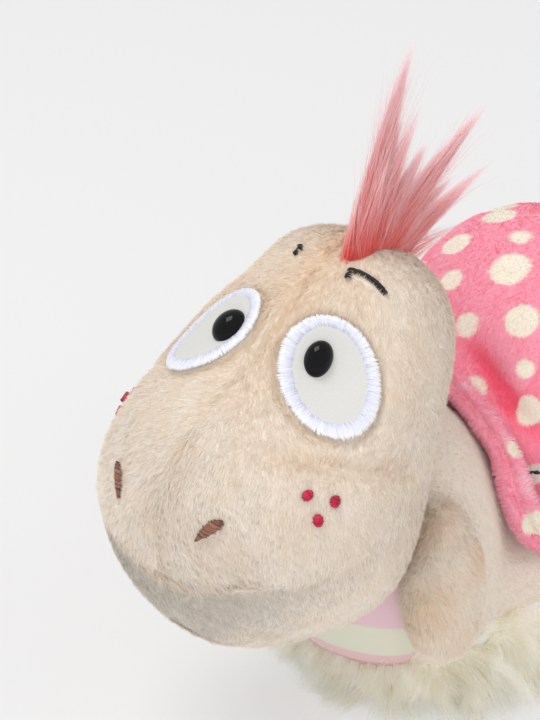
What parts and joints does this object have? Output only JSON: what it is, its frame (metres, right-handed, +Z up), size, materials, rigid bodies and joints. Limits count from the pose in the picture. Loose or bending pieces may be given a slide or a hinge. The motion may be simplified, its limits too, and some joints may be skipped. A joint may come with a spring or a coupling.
{
  "type": "plush snail",
  "caption": "Stuffed plush snail with an upturned head, sewn eyes, hair tuft, striped belly, furry foot and a dotted rounded shell; the head nods and the arms lift.",
  "frame": {"origin": "middle of the sole panel's flat underside, on the floor", "axes": "+X to the snail's left, +Y towards its tail so that it faces -Y, +Z up"},
  "size_m": [0.095, 0.2101, 0.1892],
  "materials": {
    "beige_plush": "short-pile plush",
    "stuffing": "loose polyester fibre",
    "white_velour": "shorn velour",
    "white_thread": "satin stitch",
    "black_plastic": "gloss",
    "washer_plastic": "moulded",
    "black_thread": "satin stitch",
    "brown_thread": "satin stitch",
    "red_thread": "satin stitch",
    "coral_fibre": "long soft fibre",
    "striped_velour": "shorn velour with printed stripes",
    "sole_cloth": "flat knit",
    "white_fur": "long-pile fur",
    "pink_plush": "short-pile plush with cream dots"
  },
  "bodies": {
    "torso": {"body_cover": "beige_plush", "body_filling": "stuffing", "belly_panel": "striped_velour", "sole_panel": "sole_cloth", "fur_band": "white_fur", "shell_band": "pink_plush", "left_shell_side": "pink_plush", "right_shell_side": "pink_plush", "shell_filling": "stuffing", "shell_rim": "pink_plush", "left_spiral_stitch": "black_thread", "right_spiral_stitch": "black_thread"},
    "head": {"left_head_panel": "beige_plush", "right_head_panel": "beige_plush", "chin_panel": "beige_plush", "head_filling": "stuffing", "hair_tuft": "coral_fibre", "left_eye_patch": "white_velour", "right_eye_patch": "white_velour", "left_eye_border": "white_thread", "right_eye_border": "white_thread", "left_pupil": "black_plastic", "right_pupil": "black_plastic", "left_eye_washer": "washer_plastic", "right_eye_washer": "washer_plastic", "left_brow": "black_thread", "right_brow": "black_thread", "left_nostril": "brown_thread", "right_nostril": "brown_thread", "left_freckle_1": "red_thread", "right_freckle_1": "red_thread", "left_freckle_2": "red_thread", "right_freckle_2": "red_thread", "left_freckle_3": "red_thread", "right_freckle_3": "red_thread"},
    "left_arm": {"left_arm_cover": "beige_plush", "left_arm_filling": "stuffing"},
    "right_arm": {"right_arm_cover": "beige_plush", "right_arm_filling": "stuffing"}
  },
  "joints": [
    {"name": "head_nod", "type": "hinge", "parent": "torso", "child": "head", "pos_m": [0, -0.05661, 0.06942], "axis": [1, 0, 0], "range_deg": [-5, 8], "stiffness_Nm_per_rad": 0.6, "springref_deg": -0.92},
    {"name": "left_arm_lift", "type": "hinge", "parent": "torso", "child": "left_arm", "pos_m": [0.02666, -0.05699, 0.06996], "axis": [0, -1, 0], "range_deg": [0, 40]},
    {"name": "right_arm_lift", "type": "hinge", "parent": "torso", "child": "right_arm", "pos_m": [-0.02666, -0.05699, 0.06996], "axis": [0, 1, 0], "range_deg": [0, 40]}
  ]
}
